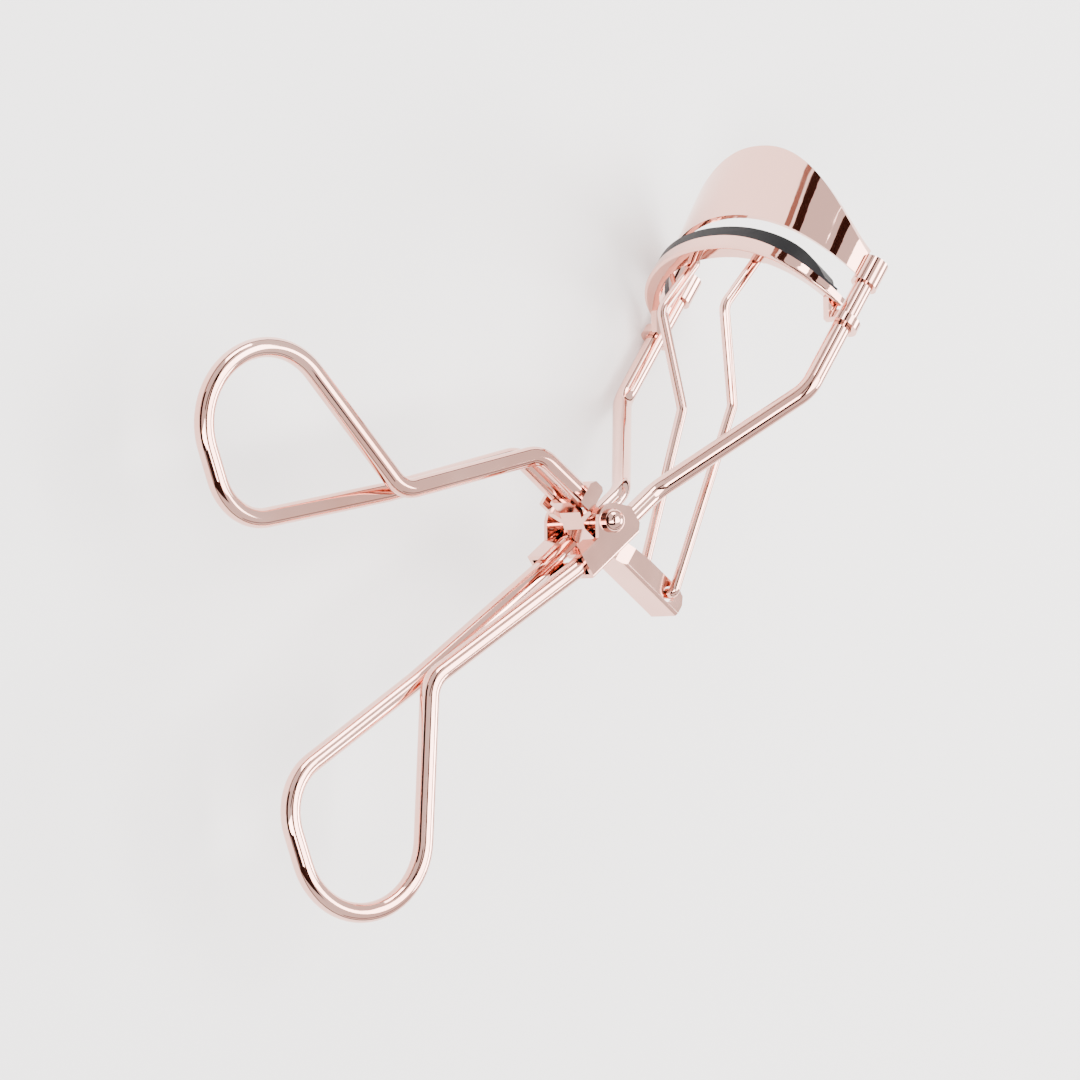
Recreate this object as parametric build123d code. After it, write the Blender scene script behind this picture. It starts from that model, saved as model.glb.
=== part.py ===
"""Eyelash curler: bent-wire frame and handle, stamped jaws, bracket and lever, one rivet, two push rods.

Millimetres. While modelling, the hinge axis is the Z axis: +X runs along the rails towards the jaws, +Y is
the side the jaws bulge to, and Z = 0 is the mirror plane. At the end every piece is moved so that the origin
is the middle of the bottom of the whole object, lying on its side.
"""
import math
import os

from build123d import *

# ---- wire sizes
WIRE_R = 1.12           # frame and handle wire
ROD_R = 0.62            # push rods
RUN = 0.05              # radial running clearance of the rivet
EYE_RUN = 0.08          # radial clearance of the sliding eyes on the rails
SEAT = 0.01             # gap between pieces that are clamped together

# ---- frame wire
RAIL_Z = 15.75          # half the distance between the rails
RAIL_Y = -7.5           # the rails' distance behind the hinge axis
RAIL_TOP = 42.4
RAIL_BEND_X = 23.75     # where the rails bend in towards the hinge
STRAND_Z = 3.0          # half the distance between strands at the hinge
CROSS_Z = 1.22          # half the distance between strands where a loop closes
RAIL_FOOT_X = 8.4       # where the slanting runs meet the clamped strands
BEND_R = 4.0

# ---- finger loop, the same for frame and handle
LOOP_RUN_1 = 17.5       # straight strand, from the crossing to the first bend
LOOP_R_1 = 6.4
LOOP_TURN_1 = 78.8
LOOP_RUN_2 = 3.4
LOOP_R_2 = 8.15
FRAME_CROSSING = (-28.75, 8.95)
FRAME_HEADING = 156.9   # direction of the frame's straight strand, degrees from +X
HANDLE_CROSSING = (-14.1, 24.3)
HANDLE_HEADING = 136.3

# ---- hinge
RIVET_R = 0.85
HEAD_R = 1.35
HEAD_H = 0.95
HEAD_COLLAR = 0.45      # straight side under the rivet's dome
CLAMP_TILT = -17.5      # direction of the clamped strands, degrees from +X
CLAMP_UP = 3.3          # the bracket's reach along the strands, towards the jaws
CLAMP_DOWN = 6.0        # and towards the loops
CLAMP_SHEET = 0.5
STRAP_S = -3.4          # above this the bracket's back is open, so that the lever's neck can swing
LEVER_SHEET = 0.55

# ---- crank lever: a wide front that holds the handle, a narrow neck on the rivet, a rear arm with two ears
GRIP_X = 1.15           # the handle strands' centre line inside the lever
GRIP_Z = 1.85           # half the distance between the handle strands
GRIP_START = 2.5
HANDLE_BEND_Y = 11.0
LEVER_FRONT = 4.2       # the lever's grip reaches this far out along the handle strands
GRIP_Y = 2.2            # and starts here
NECK_Z = 1.75           # half width of the neck, which swings between the frame strands
NECK_Y0, NECK_Y1 = -5.0, 1.3
ARM_Z = 2.3             # half width of the rear arm
ARM_Y = -6.4
ARM_UNDER_X = -1.6      # underside of the neck and the arm
EAR_TOP_X = 1.15
EAR_HOLE_X, EAR_HOLE_Y = -0.29, -13.43
EAR_HOLE_R = 0.9        # loose: this is the pivot the linkage is opened at
LEVER_END_Y = -15.8
ARM_ROUND = 0.45

# ---- jaws
JAW_HALF = 15.2         # half width of the upper jaw's middle surface
JAW_BULGE = 9.95        # how far it bulges in front of the rails
LOWER_POWER = 2.3       # fullness of the lower jaw's curve: 2 is an ellipse
UPPER_POWER = 2.08      # the upper jaw's plate is a little slimmer at its shoulders
UPPER_EDGE_X = 42.15    # middle of the upper jaw's lower edge
UPPER_TOP_X = 51.6
UPPER_END_TOP = 42.1
UPPER_DROP = 2.65       # how much lower the edge is at its ends
UPPER_LEAN = 0.11       # outward lean of the plate, mm per mm of height
UPPER_SHEET = 0.6
SLEEVE_WALL = 0.45
SLEEVE_BOTTOM = 38.75
LOWER_X = 37.05         # middle of the lower jaw's underside
LOWER_DROP = 2.6
LOWER_OUT = 0.75        # the channel's outer face stands this far in front of the upper jaw's
LOWER_IN = -1.15
LOWER_SHEET = 0.4
CHANNEL_HIGH = 1.75     # wall height in the middle
CHANNEL_FALL = 0.55     # how much lower the walls are at their ends
CHANNEL_ROUND = 0.35    # round of the channel's lower edges
PAD_GAP = 2.0           # open gap between the pad's crown and the upper jaw, in the middle
PAD_GAP_FALL = 0.5      # the gap is this much smaller at the pad's ends
PAD_HALF = 14.8
CROWN_INSET = 0.1       # the pad's crown is this much narrower than the channel, each side
PAD_END_Y = -4.7
EYE_R = 1.85
EYE_THICK = 1.1
EYE_INSIDE_Z = 15.0     # the eyes are hooks, open on their inner side
EYE_DROP = 1.9          # the eyes hang this far under the ends of the channel
CHANNEL_STOP_Y = RAIL_Y + WIRE_R + 0.35

# ---- push rods
ROD_TOP = (38.1, -0.1)  # upper pivot, in the lugs behind the channel
ROD_TOP_Z = 5.3
ROD_BEND_HIGH = (30.0, 0.95, 5.3)
ROD_BEND_LOW = (22.05, -7.45, 4.25)
ROD_FOOT = (-0.2, -13.4)
ROD_FOOT_Z = 3.05
LUG_Z0, LUG_Z1 = 6.05, 6.65
LUG_R = 1.0


def unit(v):
    return v / v.length


def bent_wire(points, bends, radius):
    """A round wire along straight runs between points, bent at each inner point."""
    points = [Vector(*p) for p in points]
    edges, start = [], points[0]
    for before, corner, after, bend in zip(points, points[1:], points[2:], bends):
        back, ahead = unit(before - corner), unit(after - corner)
        half = math.acos(max(-1.0, min(1.0, back.dot(ahead)))) / 2
        reach = bend / math.tan(half)
        enter, leave = corner + back * reach, corner + ahead * reach
        centre = corner + unit(back + ahead) * (bend / math.sin(half))
        middle = centre + unit(corner - centre) * bend
        edges += [Edge.make_line(start, enter), Edge.make_three_point_arc(enter, middle, leave)]
        start = leave
    edges.append(Edge.make_line(start, points[-1]))
    path = Wire(edges)
    section = Plane(origin=points[0], z_dir=unit(points[1] - points[0])) * Circle(radius)
    return sweep(section.face(), path=path)


def heading(angle):
    return Vector(math.cos(math.radians(angle)), math.sin(math.radians(angle)), 0)


def loop_corners(crossing, angle, side):
    """The two virtual corners of a finger loop, far one first, with the loop's bulge to the given side."""
    along = heading(angle)
    across = heading(angle + 90) * side
    turn = math.radians(LOOP_TURN_1)
    reach_1 = LOOP_R_1 * math.tan(turn / 2)
    near = Vector(crossing[0], crossing[1], 0) + along * (LOOP_RUN_1 + reach_1)
    slope = along * math.cos(turn) + across * math.sin(turn)
    # centre of the second bend, then the tangent from the crossing to it
    centre = near + slope * (reach_1 + LOOP_RUN_2)
    centre += (across * math.cos(turn) - along * math.sin(turn)) * LOOP_R_2
    span = centre - Vector(crossing[0], crossing[1], 0)
    lean = math.atan2(span.dot(across), span.dot(along)) + math.asin(LOOP_R_2 / span.length)
    turn_2 = lean + math.pi - turn
    reach_2 = LOOP_R_2 * math.tan(turn_2 / 2)
    far = near + slope * (reach_1 + LOOP_RUN_2 + reach_2)
    return far, near


def with_z(v, z):
    return (v.X, v.Y, z)


def looped_wire(lead, crossing, angle, side, bends):
    """A wire mirrored in Z except for its loop: lead points, crossing, loop, crossing, lead mirrored."""
    far, near = loop_corners(crossing, angle, side)
    there = [tuple(p) for p in lead] + [(crossing[0], crossing[1], CROSS_Z)]
    back = [(x, y, -z) for x, y, z in reversed(there)]
    points = there + [with_z(far, 0), with_z(near, -CROSS_Z)] + back
    radii = bends + [3.4, LOOP_R_2, LOOP_R_1, 12.0] + bends[::-1]
    return bent_wire(points, radii, WIRE_R)


# ---- clamp frame: s runs up along the strands, n points to the front
S_DIR = heading(CLAMP_TILT)
N_DIR = heading(CLAMP_TILT + 90)
STRAND_BACK = WIRE_R + RIVET_R + RUN


def clamp_point(s, n):
    p = S_DIR * s + N_DIR * n
    return p.X, p.Y


CLAMP_PLANE = Plane(origin=(0, 0, 0), x_dir=S_DIR, z_dir=(0, 0, 1))


def clamp_box(s0, s1, n0, n1, z0, z1):
    box = Pos((s0 + s1) / 2, (n0 + n1) / 2, (z0 + z1) / 2) * Box(s1 - s0, n1 - n0, z1 - z0)
    return CLAMP_PLANE * box


def span_box(x0, x1, y0, y1, z0, z1):
    return Pos((x0 + x1) / 2, (y0 + y1) / 2, (z0 + z1) / 2) * Box(x1 - x0, y1 - y0, z1 - z0)


def rod_along_z(x, y, z0, z1, radius):
    return Pos(x, y, (z0 + z1) / 2) * Cylinder(radius, z1 - z0)


def both_sides(solid):
    return solid + mirror(solid, about=Plane.XY)


# ================================================================ frame
def make_frame_wire():
    foot_s = RAIL_FOOT_X / math.cos(math.radians(CLAMP_TILT))
    foot = clamp_point(foot_s, -STRAND_BACK)
    low = clamp_point(-CLAMP_DOWN - 0.5, -STRAND_BACK)
    lead = [
        (RAIL_TOP, RAIL_Y, RAIL_Z),
        (RAIL_BEND_X, RAIL_Y, RAIL_Z),
        (foot[0], foot[1], STRAND_Z),
        (low[0], low[1], STRAND_Z),
    ]
    wire = looped_wire(lead, FRAME_CROSSING, FRAME_HEADING, 1, [BEND_R, BEND_R, 8.0])
    tips = wire.edges().group_by(Axis.X)[-1]
    return fillet(tips, 0.35)


def jaw_curve(out, bulge, power, steps=24):
    """Plan curve of a jaw in (z, y), moved outwards by out, from one end to the other."""
    points = []
    for i in range(2 * steps + 1):
        t = math.pi * i / (2 * steps)
        c, s = math.cos(t), math.sin(t)
        z = JAW_HALF * math.copysign(abs(c) ** (2 / power), c)
        y = bulge * abs(s) ** (2 / power)
        nz = math.copysign((abs(z) / JAW_HALF) ** (power - 1) / JAW_HALF, z)
        ny = (y / bulge) ** (power - 1) / bulge
        size = math.hypot(nz, ny)
        points.append((z + out * nz / size, RAIL_Y + y + out * ny / size))
    return points


def ring_face(out, inner, x, bulge=JAW_BULGE, power=LOWER_POWER):
    """Flat curved strip at height x between two offsets of the jaw curve."""
    outer = Edge.make_spline([Vector(x, y, z) for z, y in jaw_curve(out, bulge, power)])
    inside = Edge.make_spline([Vector(x, y, z) for z, y in jaw_curve(inner, bulge, power)])
    ends = [Edge.make_line(outer @ 0, inside @ 0), Edge.make_line(outer @ 1, inside @ 1)]
    return Face(Wire([outer, ends[1], inside, ends[0]]))


def arch_face(low, high, half, steps=24):
    """Face in the XZ plane between two curves x = f(z), for |z| up to half."""
    zs = [half * (2 * i / (2 * steps) - 1) for i in range(2 * steps + 1)]
    bottom = Edge.make_spline([Vector(low(z), 0, z) for z in zs])
    top = Edge.make_spline([Vector(high(z), 0, z) for z in zs])
    sides = [Edge.make_line(bottom @ 0, top @ 0), Edge.make_line(bottom @ 1, top @ 1)]
    return Face(Wire([bottom, sides[1], top, sides[0]]))


def arch_slab(low, high, half):
    return extrude(arch_face(low, high, half), amount=30, dir=(0, 1, 0), both=True)


def make_upper_jaw():
    def low(z):
        return UPPER_EDGE_X - UPPER_DROP * (z / JAW_HALF) ** 2

    def high(z):
        share = max(0.0, 1 - abs(z / (JAW_HALF + 0.4)) ** 2.3)
        return UPPER_END_TOP + (UPPER_TOP_X - UPPER_END_TOP) * share ** 0.9

    x0, x1 = 36.0, 54.0
    half = UPPER_SHEET / 2
    rings = [
        ring_face(half, -half, x, JAW_BULGE + UPPER_LEAN * (x - UPPER_EDGE_X), UPPER_POWER) for x in (x0, x1)
    ]
    plate = loft(rings, ruled=True) & arch_slab(low, high, JAW_HALF + 0.3)
    length = UPPER_END_TOP - SLEEVE_BOTTOM
    spot = Pos((UPPER_END_TOP + SLEEVE_BOTTOM) / 2, RAIL_Y, RAIL_Z) * Rot(0, 90, 0)
    sleeves = both_sides(spot * Cylinder(WIRE_R + SLEEVE_WALL, length))
    bores = both_sides(spot * Cylinder(WIRE_R + SEAT, 40))
    return plate + sleeves - bores


BRACKET_INSIDE = STRAND_Z + WIRE_R + SEAT
BRACKET_OUTSIDE = BRACKET_INSIDE + CLAMP_SHEET


def make_hinge_bracket():
    inside, outside = BRACKET_INSIDE, BRACKET_OUTSIDE
    back = -STRAND_BACK - WIRE_R - SEAT
    front = -STRAND_BACK + WIRE_R + SEAT
    rear, fore = back - CLAMP_SHEET, front + CLAMP_SHEET
    side = Polygon(
        (-CLAMP_DOWN, rear), (CLAMP_UP - 1.0, rear), (CLAMP_UP, rear + 1.0), (CLAMP_UP, fore), (1.5, 1.4),
        (-1.5, 1.4), (-2.8, fore), (-CLAMP_DOWN, fore), align=None,
    )
    cheek = CLAMP_PLANE * (Pos(0, 0, inside) * extrude(side, amount=CLAMP_SHEET))
    cheek += rod_along_z(0, 0, inside, outside, 2.0)
    strap = clamp_box(-CLAMP_DOWN, STRAP_S, rear, back, -outside, outside)
    low_tab = clamp_box(-CLAMP_DOWN, -3.0, front, fore, STRAND_Z - 0.9, outside)
    high_tab = clamp_box(2.0, CLAMP_UP, front, fore, STRAND_Z - 0.5, outside)
    body = strap + both_sides(cheek + low_tab + high_tab)
    bends = body.edges().filter_by(lambda e: e.length > 1.0 and abs(abs((e @ 0.5).Z) - outside) < 0.001)
    bends = bends.filter_by(lambda e: abs(CLAMP_PLANE.to_local_coords(e @ 0.5).Y - rear) < 0.001)
    body = fillet(bends, 0.4)
    return body - rod_along_z(0, 0, -9, 9, RIVET_R + SEAT)


HEAD_Z = BRACKET_OUTSIDE + 0.02


def make_rivet():
    shank = rod_along_z(0, 0, -HEAD_Z - 0.1, HEAD_Z + 0.1, RIVET_R)
    ball_r = (HEAD_R ** 2 + HEAD_H ** 2) / (2 * HEAD_H)
    dome_z = HEAD_Z + HEAD_COLLAR
    dome = Pos(0, 0, dome_z + HEAD_H - ball_r) * Sphere(ball_r)
    dome &= rod_along_z(0, 0, dome_z, dome_z + HEAD_H + 1, HEAD_R + 1)
    return shank + both_sides(dome + rod_along_z(0, 0, HEAD_Z, dome_z, HEAD_R))


# ================================================================ handle
def make_handle_wire():
    lead = [(GRIP_X, GRIP_START, GRIP_Z), (GRIP_X, HANDLE_BEND_Y, GRIP_Z - 0.1)]
    return looped_wire(lead, HANDLE_CROSSING, HANDLE_HEADING, -1, [3.6])


def plan_line(inset):
    """Half of the lever's plan outline in (y, z), from its front to its end, moved in by inset."""
    front_z = GRIP_Z + WIRE_R + SEAT + LEVER_SHEET
    lag = inset * 0.45
    return [
        (LEVER_FRONT, front_z - inset), (GRIP_Y + lag, front_z - inset), (NECK_Y1 + lag, NECK_Z - inset),
        (NECK_Y0 - lag, NECK_Z - inset), (ARM_Y - lag, ARM_Z - inset), (LEVER_END_Y, ARM_Z - inset),
    ]


def make_crank_lever():
    t = LEVER_SHEET
    plan = Plane(origin=(0, 0, 0), x_dir=(0, 1, 0), z_dir=(1, 0, 0))
    under_x = GRIP_X - WIRE_R - SEAT - t
    top = GRIP_X + WIRE_R + SEAT + t
    # cheeks: a sheet standing on the plan line, cut to the side outline
    strip = Polygon(*plan_line(0), *reversed(plan_line(t)), align=None)
    side = Polygon(
        (under_x, LEVER_FRONT), (top - 0.7, LEVER_FRONT), (top, LEVER_FRONT - 0.5), (top, GRIP_Y + 0.4),
        (1.6, NECK_Y1), (1.6, -1.4),
        (0.9, -2.6), (0.9, ARM_Y), (EAR_TOP_X, -9.0), (EAR_TOP_X, LEVER_END_Y + 1.4),
        (EAR_TOP_X - 0.4, LEVER_END_Y + 0.5), (EAR_TOP_X - 1.3, LEVER_END_Y),
        (ARM_UNDER_X, LEVER_END_Y), (ARM_UNDER_X, NECK_Y1 - 0.6),
        (under_x, GRIP_Y + 0.2), align=None,
    )
    cheek = extrude(plan * strip, amount=12, both=True) & extrude(side, amount=9, both=True)
    # web: a bent sheet under the grip, the neck and the arm, cut to the plan outline
    bottom = [
        (under_x, LEVER_FRONT), (under_x, GRIP_Y + 0.2),
        (ARM_UNDER_X, NECK_Y1 - 0.6), (ARM_UNDER_X, LEVER_END_Y),
    ]
    sheet = Polygon(*bottom, *[(x + t, y) for x, y in reversed(bottom)], align=None)
    sheet = extrude(sheet, amount=9, both=True)
    half = [(LEVER_FRONT, NECK_Z - 0.05), *plan_line(0.05)[2:]]
    outline = Polygon(*half, *[(y, -z) for y, z in reversed(half)], align=None)
    web = sheet & extrude(plan * outline, amount=12, both=True)
    fold = span_box(top - t, top, GRIP_Y + 0.5, LEVER_FRONT - 0.5, GRIP_Z - 0.6, GRIP_Z + WIRE_R + 0.1)
    body = both_sides(cheek + fold) + web
    rims = body.edges().filter_by(Axis.Y)
    rims = rims.filter_by(lambda e: e.length > 8 and (e @ 0.5).X < ARM_UNDER_X + 0.01)
    body = fillet(rims, ARM_ROUND)
    body -= rod_along_z(0, 0, -9, 9, RIVET_R + RUN)
    hole = rod_along_z(EAR_HOLE_X, EAR_HOLE_Y, ARM_Z - t - 0.05, 9, EAR_HOLE_R)
    return body - both_sides(hole)


# ================================================================ lower jaw
def lower_base(z):
    return LOWER_X - LOWER_DROP * (z / (JAW_HALF + LOWER_OUT)) ** 2


def arch_wall(out, inner, rise_0, rise_1):
    """Curved wall between two offsets of the jaw curve, its edges raised above the arched underside."""
    block = extrude(ring_face(out, inner, 28.0), amount=20, dir=(1, 0, 0))
    half = JAW_HALF + LOWER_OUT + 0.3
    slab = arch_slab(lambda z: lower_base(z) + rise_0(z), lambda z: lower_base(z) + rise_1(z), half)
    return block & slab


def level(h):
    return lambda z: h


FRONT_ONLY = span_box(0, 80, CHANNEL_STOP_Y, 40, -40, 40)


def wall_top(z):
    return CHANNEL_HIGH - CHANNEL_FALL * (z / JAW_HALF) ** 2


def upper_edge(z):
    return UPPER_EDGE_X - UPPER_DROP * (z / JAW_HALF) ** 2


def pad_top(z):
    """Crown of the pad above the channel's underside, rounded down at its ends."""
    gap = PAD_GAP - PAD_GAP_FALL * (z / PAD_HALF) ** 2
    crown = upper_edge(z) - gap - lower_base(z)
    share = max(0.0, 1 - abs(z / PAD_HALF) ** 10)
    low = CHANNEL_HIGH - CHANNEL_FALL + 0.35
    return low + (crown - low) * share


def make_lower_jaw():
    t = LOWER_SHEET
    trough = arch_wall(LOWER_OUT, LOWER_IN, level(0), wall_top) & FRONT_ONLY
    rims = trough.edges().filter_by(lambda e: e.length > 25 and abs((e @ 0.5).X - LOWER_X) < 0.3)
    trough = fillet(rims, CHANNEL_ROUND)
    trough -= arch_wall(LOWER_OUT - t, LOWER_IN + t, level(t), level(9))
    # the ends step down to the eyes
    base, stop = lower_base(JAW_HALF), CHANNEL_STOP_Y
    low = base - EYE_DROP
    eye_spot = Pos(low + EYE_THICK / 2, RAIL_Y, RAIL_Z) * Rot(0, 90, 0)
    eye = eye_spot * Cylinder(EYE_R, EYE_THICK) & span_box(0, 80, -20, 20, EYE_INSIDE_Z, 40)
    neck = Polygon(
        (low, stop - 0.5), (low, stop + 0.1), (base + 0.1, stop + 1.6), (base + 0.5, stop + 1.6),
        (base + 0.5, stop - 0.1), (low + EYE_THICK, stop - 0.3), (low + EYE_THICK, stop - 0.5), align=None,
    )
    z0, z1 = EYE_INSIDE_Z, JAW_HALF + LOWER_OUT - 0.05
    neck = Pos(0, 0, z0) * extrude(neck, amount=z1 - z0)
    bore = eye_spot * Cylinder(WIRE_R + EYE_RUN, 30)
    # lugs for the rods' upper ends
    x, y = ROD_TOP
    wall_y = jaw_y(LUG_Z1) + LOWER_IN
    lug = rod_along_z(x, y, LUG_Z0, LUG_Z1, LUG_R)
    lug += span_box(x - LUG_R, x + 0.2, y, wall_y + 0.2, LUG_Z0, LUG_Z1)
    lug -= rod_along_z(x, y, 0, 9, ROD_R + RUN)
    return trough + both_sides(eye + neck - bore) + both_sides(lug)


def jaw_y(z):
    return RAIL_Y + JAW_BULGE * (1 - (z / JAW_HALF) ** LOWER_POWER) ** (1 / LOWER_POWER)


def make_pad():
    """A strip standing in the channel, with a wider crown that rests on the channel's rims."""
    t = LOWER_SHEET + SEAT
    foot = arch_wall(LOWER_OUT - t, LOWER_IN + t, level(t), lambda z: wall_top(z) + 0.3)
    crown = arch_wall(LOWER_OUT - CROWN_INSET, LOWER_IN + CROWN_INSET, lambda z: wall_top(z) + SEAT, pad_top)
    return (foot + crown) & span_box(0, 80, PAD_END_Y, 40, -40, 40)


# ================================================================ push rods
def make_push_rod():
    points = [
        (*ROD_TOP, LUG_Z1 + 0.35),
        (*ROD_TOP, ROD_TOP_Z),
        ROD_BEND_HIGH,
        ROD_BEND_LOW,
        (*ROD_FOOT, ROD_FOOT_Z),
        (*ROD_FOOT, ARM_Z - LEVER_SHEET - 0.5),
    ]
    return bent_wire(points, [0.7, 1.6, 1.6, 0.7], ROD_R)


push_rod = make_push_rod()
pieces = {
    "frame_wire": make_frame_wire(),
    "upper_jaw": make_upper_jaw(),
    "hinge_bracket": make_hinge_bracket(),
    "hinge_rivet": make_rivet(),
    "handle_wire": make_handle_wire(),
    "crank_lever": make_crank_lever(),
    "lower_jaw": make_lower_jaw(),
    "jaw_pad": make_pad(),
    "push_rod_right": push_rod,
    "push_rod_left": mirror(push_rod, about=Plane.XY),
}

whole = Compound(children=[Part() + piece for piece in pieces.values()]).bounding_box()
home = Pos(-whole.center().X, -whole.center().Y, -whole.min.Z)
os.makedirs("parts", exist_ok=True)
for name, piece in pieces.items():
    export_step(home * piece, f"parts/{name}.step")
axis_x, axis_y, height = (round(-v, 4) for v in (whole.center().X, whole.center().Y, whole.min.Z))
print("hinge axis at", axis_x, axis_y, "height", height)
print("size", [round(v, 2) for v in whole.size])
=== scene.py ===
"""Eyelash curler in polished rose-gold plating with a matte black silicone pad, on a pale studio floor."""

import math

import bpy
from mathutils import Matrix, Vector

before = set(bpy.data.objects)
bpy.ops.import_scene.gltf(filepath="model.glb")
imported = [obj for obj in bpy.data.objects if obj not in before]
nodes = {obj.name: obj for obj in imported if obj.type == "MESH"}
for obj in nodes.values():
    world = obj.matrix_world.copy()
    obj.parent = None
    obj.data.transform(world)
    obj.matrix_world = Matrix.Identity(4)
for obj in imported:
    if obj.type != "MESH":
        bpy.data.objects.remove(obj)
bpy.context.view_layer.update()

# ---- colours, linear
ROSE_PALE = (0.840, 0.520, 0.445, 1)
ROSE_MID = (0.770, 0.430, 0.355, 1)
ROSE_DEEP = (0.700, 0.360, 0.290, 1)
SILICONE = (0.008, 0.008, 0.009, 1)
SILICONE_PALE = (0.017, 0.016, 0.017, 1)
FLOOR = (0.86, 0.85, 0.85, 1)
FLOOR_WARM = (0.90, 0.88, 0.875, 1)
CARD_DARK = (0.020, 0.008, 0.006, 1)
CARD_BROWN = (0.16, 0.085, 0.07, 1)
SKY = (1.0, 0.975, 0.965, 1)

# ---- grain of the surfaces: noise scales per metre, bump distances in metres
HUE_DRIFT_SCALE, SMUDGE_SCALE = 55, 170
WAVE_SCALE, WAVE_DISTANCE = 150, 0.00002
DUST_SCALE = 260
SILICONE_GRAIN_SCALE, SILICONE_GRAIN_DISTANCE = 2600, 0.00003
PAPER_CLOUD_SCALE = 3
PAPER_FIBRE_SCALE, PAPER_FIBRE_DISTANCE = 900, 0.0001

# ---- roughness ranges, from clean to dusty or worn
SILICONE_ROUGHNESS = (0.38, 0.52)
PAPER_ROUGHNESS = (0.85, 0.95)
SILICONE_SPECULAR = 0.12

# ---- studio, in metres
CENTRE = Vector((0.0, 0.0, 0.017))
HALF_FLOOR = 3.0
BAND_RADIUS, BAND_LOW, BAND_HIGH, BAND_SIDES = 0.62, 0.020, 0.095, 24
CARD_FAR, CARD_LONG = 0.80, 0.90
SKY_STRENGTH = 1.5

# ---- camera: where it stands, its axes, and its lens in millimetres
EYE = Vector((-0.33782, 0.40253, 0.62474))
RIGHT = Vector((0.435, -0.612, 0.660)).normalized()
UP = RIGHT.cross(Vector((0.414, -0.515, -0.751)).normalized()).normalized()
AHEAD = UP.cross(RIGHT).normalized()
SENSOR_WIDTH, LENS = 36.0, 240.1
CLIP_NEAR, CLIP_FAR = 0.01, 20.0


# ---- node helpers
def new_material(name):
    material = bpy.data.materials.new(name)
    material.use_nodes = True
    tree = material.node_tree
    tree.nodes.clear()
    out = tree.nodes.new("ShaderNodeOutputMaterial")
    shader = tree.nodes.new("ShaderNodeBsdfPrincipled")
    tree.links.new(shader.outputs["BSDF"], out.inputs["Surface"])
    return material, tree, shader


def object_position(tree):
    return tree.nodes.new("ShaderNodeTexCoord").outputs["Object"]


def noise(tree, position, scale, detail, roughness=0.5):
    node = tree.nodes.new("ShaderNodeTexNoise")
    node.inputs["Scale"].default_value = scale
    node.inputs["Detail"].default_value = detail
    node.inputs["Roughness"].default_value = roughness
    tree.links.new(position, node.inputs["Vector"])
    return node.outputs["Fac"]


def spread(tree, value, source, target):
    """The value, carried from the source range to the target range."""
    node = tree.nodes.new("ShaderNodeMapRange")
    node.inputs["From Min"].default_value, node.inputs["From Max"].default_value = source
    node.inputs["To Min"].default_value, node.inputs["To Max"].default_value = target
    tree.links.new(value, node.inputs["Value"])
    return node.outputs["Result"]


def ramp(tree, value, stops):
    node = tree.nodes.new("ShaderNodeValToRGB")
    ramp_stops = node.color_ramp.elements
    while len(ramp_stops) < len(stops):
        ramp_stops.new(0.5)
    for stop, (place, colour) in zip(ramp_stops, stops):
        stop.position, stop.color = place, colour
    tree.links.new(value, node.inputs["Fac"])
    return node.outputs["Color"]


def bump(tree, shader, height, strength, distance):
    node = tree.nodes.new("ShaderNodeBump")
    node.inputs["Strength"].default_value = strength
    node.inputs["Distance"].default_value = distance
    tree.links.new(height, node.inputs["Height"])
    tree.links.new(node.outputs["Normal"], shader.inputs["Normal"])


# ---- materials
def plating(name, colours, roughness, wave):
    """Mirror-polished plating: a slow drift of hue, faint handling smudges and a barely wavy surface."""
    material, tree, shader = new_material(name)
    position = object_position(tree)
    drift = noise(tree, position, HUE_DRIFT_SCALE, detail=3)
    stops = list(zip((0.30, 0.52, 0.74), colours))
    tree.links.new(ramp(tree, drift, stops), shader.inputs["Base Color"])
    smudges = noise(tree, position, SMUDGE_SCALE, detail=5, roughness=0.62)
    tree.links.new(spread(tree, smudges, (0.42, 0.72), roughness), shader.inputs["Roughness"])
    bump(tree, shader, noise(tree, position, WAVE_SCALE, detail=1), wave, WAVE_DISTANCE)
    shader.inputs["Metallic"].default_value = 1.0
    return material


def silicone(name):
    """Matte moulded silicone: fine grain, a trace of dust and little gloss."""
    material, tree, shader = new_material(name)
    position = object_position(tree)
    dust = noise(tree, position, DUST_SCALE, detail=6, roughness=0.6)
    stops = [(0.45, SILICONE), (0.72, SILICONE_PALE)]
    tree.links.new(ramp(tree, dust, stops), shader.inputs["Base Color"])
    tree.links.new(spread(tree, dust, (0.3, 0.7), SILICONE_ROUGHNESS), shader.inputs["Roughness"])
    grain = noise(tree, position, SILICONE_GRAIN_SCALE, detail=3)
    bump(tree, shader, grain, 0.25, SILICONE_GRAIN_DISTANCE)
    shader.inputs["Specular IOR Level"].default_value = SILICONE_SPECULAR
    return material


def paper(name):
    """Seamless studio paper for the floor."""
    material, tree, shader = new_material(name)
    position = object_position(tree)
    cloud = noise(tree, position, PAPER_CLOUD_SCALE, detail=2)
    stops = [(0.35, FLOOR), (0.65, FLOOR_WARM)]
    tree.links.new(ramp(tree, cloud, stops), shader.inputs["Base Color"])
    tree.links.new(spread(tree, cloud, (0.3, 0.7), PAPER_ROUGHNESS), shader.inputs["Roughness"])
    bump(tree, shader, noise(tree, position, PAPER_FIBRE_SCALE, detail=3), 0.05, PAPER_FIBRE_DISTANCE)
    return material


def card_material(name, colour):
    """Flat card without any gloss."""
    material, _, shader = new_material(name)
    shader.inputs["Base Color"].default_value = colour
    shader.inputs["Roughness"].default_value = 1.0
    shader.inputs["Specular IOR Level"].default_value = 0.0
    return material


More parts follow.
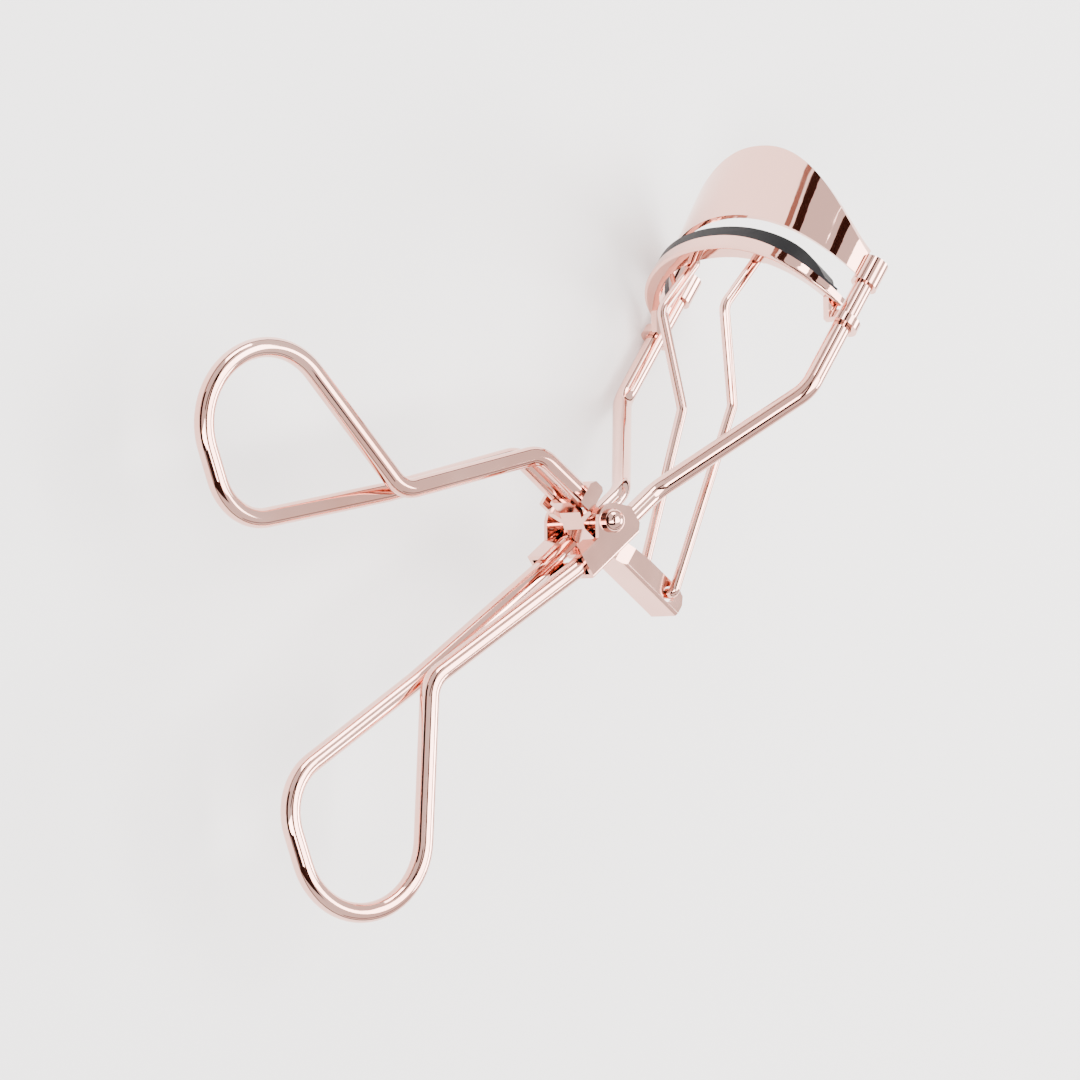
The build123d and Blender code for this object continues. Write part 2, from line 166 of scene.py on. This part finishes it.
# colours from deep to pale, roughness from clean to smudged, depth of the waves
wire_plating = plating("rose gold wire", (ROSE_DEEP, ROSE_MID, ROSE_PALE), (0.04, 0.10), 0.02)
sheet_plating = plating("rose gold sheet", (ROSE_MID, ROSE_MID, ROSE_PALE), (0.02, 0.07), 0.012)
lever_plating = plating("rose gold stamping", (ROSE_DEEP, ROSE_MID, ROSE_MID), (0.07, 0.17), 0.03)
rivet_plating = plating("rose gold rivet", (ROSE_DEEP, ROSE_MID, ROSE_PALE), (0.05, 0.12), 0.03)
pad_silicone = silicone("black silicone")

FINISH = {
    "frame_wire": wire_plating,
    "handle_wire": wire_plating,
    "push_rod_left": wire_plating,
    "push_rod_right": wire_plating,
    "upper_jaw": sheet_plating,
    "lower_jaw": sheet_plating,
    "hinge_bracket": lever_plating,
    "crank_lever": lever_plating,
    "hinge_rivet": rivet_plating,
    "jaw_pad": pad_silicone,
}
for name, finish in FINISH.items():
    materials = nodes[name].data.materials
    materials.clear()
    materials.append(finish)


# ---- studio
def flat_card(name, corners, material):
    mesh = bpy.data.meshes.new(name)
    mesh.from_pydata([tuple(c) for c in corners], [], [tuple(range(len(corners)))])
    card = bpy.data.objects.new(name, mesh)
    card.data.materials.append(material)
    bpy.context.scene.collection.objects.link(card)
    return card


def hidden_card(name, corners, material):
    """A card for the reflections: a camera behind it looks through it."""
    card = flat_card(name, corners, material)
    card.visible_camera = False
    return card


def level_corners(x_low, y_low, x_high, y_high, z):
    return [(x_low, y_low, z), (x_high, y_low, z), (x_high, y_high, z), (x_low, y_high, z)]


def facing_card(name, direction, height, material, roll=(1, 0, 0)):
    """A long hidden card that faces the object from a direction, its length along roll."""
    to_card = Vector(direction).normalized()
    across = Vector(roll)
    across = (across - to_card * across.dot(to_card)).normalized()
    up = to_card.cross(across)
    middle = CENTRE + to_card * CARD_FAR
    signs = ((-1, -1), (1, -1), (1, 1), (-1, 1))
    corners = [middle + across * a * CARD_LONG / 2 + up * b * height / 2 for a, b in signs]
    hidden_card(name, corners, material)


def soft_light(name, direction, distance, size, power, colour=(1, 1, 1)):
    """A rectangular area light that faces the object from a direction."""
    data = bpy.data.lights.new(name, "AREA")
    data.shape = "RECTANGLE"
    data.size, data.size_y = size
    data.energy = power
    data.color = colour
    light = bpy.data.objects.new(name, data)
    to_light = Vector(direction).normalized()
    light.location = CENTRE + to_light * distance
    light.rotation_euler = to_light.to_track_quat("Z", "Y").to_euler()
    bpy.context.scene.collection.objects.link(light)


flat_card("floor", level_corners(-HALF_FLOOR, -HALF_FLOOR, HALF_FLOOR, HALF_FLOOR, 0), paper("studio paper"))

dark = card_material("dark card", CARD_DARK)
brown = card_material("brown card", CARD_BROWN)

# a low dark band all round gives every wire its thin dark line
for i in range(BAND_SIDES):
    angles = [2 * math.pi * (i + k) / BAND_SIDES for k in (0, 1)]
    (ax, ay), (bx, by) = ((math.cos(t) * BAND_RADIUS, math.sin(t) * BAND_RADIUS) for t in angles)
    corners = [(ax, ay, BAND_LOW), (bx, by, BAND_LOW), (bx, by, BAND_HIGH), (ax, ay, BAND_HIGH)]
    hidden_card(f"band {i}", corners, dark)

# the card on the floor is seen in reflections only, so the floor under it stays lit
floor_card = hidden_card("brown floor card", level_corners(-0.35, 0.16, 0.5, 0.42, 0.001), brown)
floor_card.visible_shadow = False
floor_card.visible_diffuse = False

facing_card("dark card front", (0.20, 0.58, 0.79), 0.15, dark)
facing_card("brown card back", (-0.20, -0.85, 0.42), 0.10, brown)

# narrow dark strips draw thin lines along the wires; each is swung away from the eye's direction
# name, degrees of swing, axis it swings towards, axis it lies along, width
STRIPS = (
    ("above", 27, RIGHT, UP, 0.20),
    ("left", -34, UP, RIGHT, 0.30),
    ("right", -38, RIGHT, UP, 0.30),
)
for name, degrees, side, along, width in STRIPS:
    swing = math.radians(degrees)
    facing_card(f"strip {name}", side * math.sin(swing) - AHEAD * math.cos(swing), width, dark, along)

# name, direction, distance, size, watts, colour
soft_light("overhead softbox", (0.15, -0.10, 1.0), 1.10, (0.9, 0.9), 30.0, (1.0, 0.985, 0.97))
soft_light("key softbox", (-0.75, 0.35, 0.75), 1.20, (0.6, 0.8), 22.0, (1.0, 0.98, 0.96))
soft_light("fill softbox", (0.8, 0.7, 0.5), 1.30, (0.7, 0.5), 14.0, (1.0, 0.97, 0.96))
soft_light("back softbox", (0.5, -0.9, 0.6), 1.20, (0.6, 0.4), 14.0)

world = bpy.data.worlds.new("studio")
world.use_nodes = True
background = world.node_tree.nodes["Background"]
background.inputs["Color"].default_value = SKY
background.inputs["Strength"].default_value = SKY_STRENGTH
bpy.context.scene.world = world

# ---- camera
camera_data = bpy.data.cameras.new("camera")
camera_data.sensor_width = SENSOR_WIDTH
camera_data.lens = LENS
camera_data.clip_start, camera_data.clip_end = CLIP_NEAR, CLIP_FAR
camera = bpy.data.objects.new("camera", camera_data)
turn = Matrix((RIGHT, UP, -AHEAD)).transposed().to_4x4()
camera.matrix_world = Matrix.Translation(EYE) @ turn
bpy.context.scene.collection.objects.link(camera)
bpy.context.scene.camera = camera
